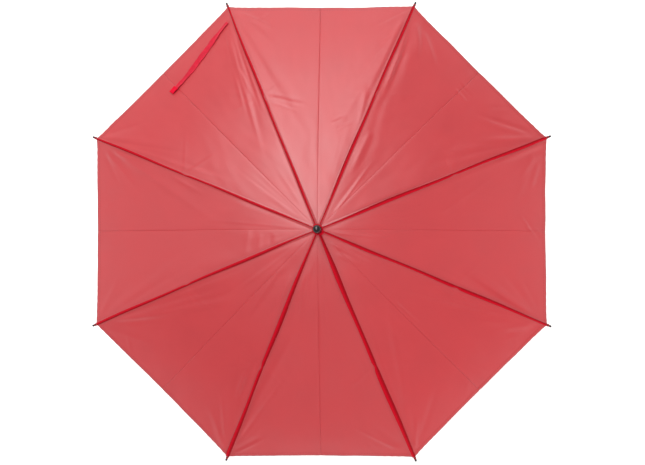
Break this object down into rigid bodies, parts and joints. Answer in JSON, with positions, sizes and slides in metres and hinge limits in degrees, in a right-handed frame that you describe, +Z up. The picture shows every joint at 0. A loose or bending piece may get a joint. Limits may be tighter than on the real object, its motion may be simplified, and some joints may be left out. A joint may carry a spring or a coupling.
{
  "type": "stick umbrella",
  "caption": "Open stick umbrella with a domed red canopy on folding ribs, a sliding runner and a crook handle.",
  "frame": {"origin": "middle of the straight grip, on the shaft's axis", "axes": "+Z up the shaft from the grip to the ferrule cap; the crook bends towards +X; the eight ribs stand 22.5 degrees from +X and every 45 degrees from there"},
  "size_m": [0.9648, 0.9648, 0.8673],
  "materials": {
    "shaft_steel": "satin",
    "black_plastic": "gloss",
    "handle_plastic": "satin",
    "notch_plastic": "satin",
    "spring_steel": "satin",
    "handle_collar_chrome": "polished",
    "canopy_cloth": "satin",
    "frame_steel": "satin",
    "joiner_steel": "satin",
    "tip_plastic": "gloss",
    "strap_cloth": "satin",
    "fastener_cloth": "matte"
  },
  "bodies": {
    "shaft": {"shaft_tube": "shaft_steel", "ferrule_sleeve": "black_plastic", "ferrule_cap": "black_plastic", "canopy_collar": "black_plastic", "canopy_rosette": "canopy_cloth", "crown_notch": "notch_plastic", "crown_wire": "spring_steel", "crown_pin": "spring_steel", "catch_pins": "spring_steel", "handle_crook": "handle_plastic", "handle_collar": "handle_collar_chrome", "handle_end_cap": "black_plastic", "handle_pin": "spring_steel"},
    "runner": {"runner_sleeve": "notch_plastic", "runner_wire": "spring_steel"},
    "top_catch": {"top_catch_spring": "spring_steel"},
    "bottom_catch": {"bottom_catch_spring": "spring_steel"},
    "rib_1": {"rib_1": "frame_steel", "rib_tip_1": "tip_plastic", "rib_joiner_1": "joiner_steel", "canopy_segment_1": "canopy_cloth"},
    "stretcher_1": {"stretcher_1": "frame_steel"},
    "rib_2": {"rib_2": "frame_steel", "rib_tip_2": "tip_plastic", "rib_joiner_2": "joiner_steel", "canopy_segment_2": "canopy_cloth"},
    "stretcher_2": {"stretcher_2": "frame_steel"},
    "rib_3": {"rib_3": "frame_steel", "rib_tip_3": "tip_plastic", "rib_joiner_3": "joiner_steel", "canopy_segment_3": "canopy_cloth", "closing_strap": "strap_cloth", "strap_fastener": "fastener_cloth"},
    "stretcher_3": {"stretcher_3": "frame_steel"},
    "rib_4": {"rib_4": "frame_steel", "rib_tip_4": "tip_plastic", "rib_joiner_4": "joiner_steel", "canopy_segment_4": "canopy_cloth"},
    "stretcher_4": {"stretcher_4": "frame_steel"},
    "rib_5": {"rib_5": "frame_steel", "rib_tip_5": "tip_plastic", "rib_joiner_5": "joiner_steel", "canopy_segment_5": "canopy_cloth"},
    "stretcher_5": {"stretcher_5": "frame_steel"},
    "rib_6": {"rib_6": "frame_steel", "rib_tip_6": "tip_plastic", "rib_joiner_6": "joiner_steel", "canopy_segment_6": "canopy_cloth"},
    "stretcher_6": {"stretcher_6": "frame_steel"},
    "rib_7": {"rib_7": "frame_steel", "rib_tip_7": "tip_plastic", "rib_joiner_7": "joiner_steel", "canopy_segment_7": "canopy_cloth"},
    "stretcher_7": {"stretcher_7": "frame_steel"},
    "rib_8": {"rib_8": "frame_steel", "rib_tip_8": "tip_plastic", "rib_joiner_8": "joiner_steel", "canopy_segment_8": "canopy_cloth"},
    "stretcher_8": {"stretcher_8": "frame_steel"}
  },
  "joints": [
    {"name": "canopy_fold", "type": "hinge", "parent": "shaft", "child": "rib_1", "pos_m": [0.00739, 0.00306, 0.705], "axis": [-0.3827, 0.9239, 0], "range_deg": [0, 62.7], "deforming": ["canopy_segment_1", "top_catch_spring", "bottom_catch_spring"]},
    {"name": "rib_2_fold", "type": "hinge", "parent": "shaft", "child": "rib_2", "pos_m": [0.00306, 0.00739, 0.705], "axis": [-0.9239, 0.3827, 0], "range_deg": [0, 62.7], "deforming": ["canopy_segment_2"]},
    {"name": "rib_3_fold", "type": "hinge", "parent": "shaft", "child": "rib_3", "pos_m": [-0.00306, 0.00739, 0.705], "axis": [-0.9239, -0.3827, 0], "range_deg": [0, 62.7], "deforming": ["canopy_segment_3", "closing_strap", "strap_fastener"]},
    {"name": "rib_4_fold", "type": "hinge", "parent": "shaft", "child": "rib_4", "pos_m": [-0.00739, 0.00306, 0.705], "axis": [-0.3827, -0.9239, 0], "range_deg": [0, 62.7], "deforming": ["canopy_segment_4"]},
    {"name": "rib_5_fold", "type": "hinge", "parent": "shaft", "child": "rib_5", "pos_m": [-0.00739, -0.00306, 0.705], "axis": [0.3827, -0.9239, 0], "range_deg": [0, 62.7], "deforming": ["canopy_segment_5"]},
    {"name": "rib_6_fold", "type": "hinge", "parent": "shaft", "child": "rib_6", "pos_m": [-0.00306, -0.00739, 0.705], "axis": [0.9239, -0.3827, 0], "range_deg": [0, 62.7], "deforming": ["canopy_segment_6"]},
    {"name": "rib_7_fold", "type": "hinge", "parent": "shaft", "child": "rib_7", "pos_m": [0.00306, -0.00739, 0.705], "axis": [0.9239, 0.3827, 0], "range_deg": [0, 62.7], "deforming": ["canopy_segment_7"]},
    {"name": "rib_8_fold", "type": "hinge", "parent": "shaft", "child": "rib_8", "pos_m": [0.00739, -0.00306, 0.705], "axis": [0.3827, 0.9239, 0], "range_deg": [0, 62.7], "deforming": ["canopy_segment_8"]},
    {"name": "stretcher_1_fold", "type": "hinge", "parent": "rib_1", "child": "stretcher_1", "pos_m": [0.26922, 0.11151, 0.61135], "axis": [-0.3827, 0.9239, 0], "range_deg": [-125.4, 0]},
    {"name": "stretcher_2_fold", "type": "hinge", "parent": "rib_2", "child": "stretcher_2", "pos_m": [0.11151, 0.26922, 0.61135], "axis": [-0.9239, 0.3827, 0], "range_deg": [-125.4, 0]},
    {"name": "stretcher_3_fold", "type": "hinge", "parent": "rib_3", "child": "stretcher_3", "pos_m": [-0.11151, 0.26922, 0.61135], "axis": [-0.9239, -0.3827, 0], "range_deg": [-125.4, 0]},
    {"name": "stretcher_4_fold", "type": "hinge", "parent": "rib_4", "child": "stretcher_4", "pos_m": [-0.26922, 0.11151, 0.61135], "axis": [-0.3827, -0.9239, 0], "range_deg": [-125.4, 0]},
    {"name": "stretcher_5_fold", "type": "hinge", "parent": "rib_5", "child": "stretcher_5", "pos_m": [-0.26922, -0.11151, 0.61135], "axis": [0.3827, -0.9239, 0], "range_deg": [-125.4, 0]},
    {"name": "stretcher_6_fold", "type": "hinge", "parent": "rib_6", "child": "stretcher_6", "pos_m": [-0.11151, -0.26922, 0.61135], "axis": [0.9239, -0.3827, 0], "range_deg": [-125.4, 0]},
    {"name": "stretcher_7_fold", "type": "hinge", "parent": "rib_7", "child": "stretcher_7", "pos_m": [0.11151, -0.26922, 0.61135], "axis": [0.9239, 0.3827, 0], "range_deg": [-125.4, 0]},
    {"name": "stretcher_8_fold", "type": "hinge", "parent": "rib_8", "child": "stretcher_8", "pos_m": [0.26922, -0.11151, 0.61135], "axis": [0.3827, 0.9239, 0], "range_deg": [-125.4, 0]},
    {"name": "runner_hinge", "type": "hinge", "parent": "stretcher_1", "child": "runner", "pos_m": [0.00739, 0.00306, 0.5177], "axis": [-0.3827, 0.9239, 0], "range_deg": [0, 62.7]},
    {"name": "top_catch_press", "type": "hinge", "parent": "shaft", "child": "top_catch", "pos_m": [0.001, 0, 0.4202], "axis": [0, -1, 0], "range_deg": [0, 5], "stiffness_Nm_per_rad": 2, "springref_deg": -2.86},
    {"name": "bottom_catch_press", "type": "hinge", "parent": "shaft", "child": "bottom_catch", "pos_m": [0.001, 0, 0.11943], "axis": [0, 1, 0], "range_deg": [0, 5], "stiffness_Nm_per_rad": 2, "springref_deg": -2.86}
  ],
  "couplings": [
    {"joint": "rib_2_fold", "follows": "canopy_fold", "ratio": 1},
    {"joint": "rib_3_fold", "follows": "canopy_fold", "ratio": 1},
    {"joint": "rib_4_fold", "follows": "canopy_fold", "ratio": 1},
    {"joint": "rib_5_fold", "follows": "canopy_fold", "ratio": 1},
    {"joint": "rib_6_fold", "follows": "canopy_fold", "ratio": 1},
    {"joint": "rib_7_fold", "follows": "canopy_fold", "ratio": 1},
    {"joint": "rib_8_fold", "follows": "canopy_fold", "ratio": 1},
    {"joint": "stretcher_1_fold", "follows": "canopy_fold", "ratio": -2},
    {"joint": "stretcher_2_fold", "follows": "canopy_fold", "ratio": -2},
    {"joint": "stretcher_3_fold", "follows": "canopy_fold", "ratio": -2},
    {"joint": "stretcher_4_fold", "follows": "canopy_fold", "ratio": -2},
    {"joint": "stretcher_5_fold", "follows": "canopy_fold", "ratio": -2},
    {"joint": "stretcher_6_fold", "follows": "canopy_fold", "ratio": -2},
    {"joint": "stretcher_7_fold", "follows": "canopy_fold", "ratio": -2},
    {"joint": "stretcher_8_fold", "follows": "canopy_fold", "ratio": -2},
    {"joint": "runner_hinge", "follows": "canopy_fold", "ratio": 1}
  ]
}
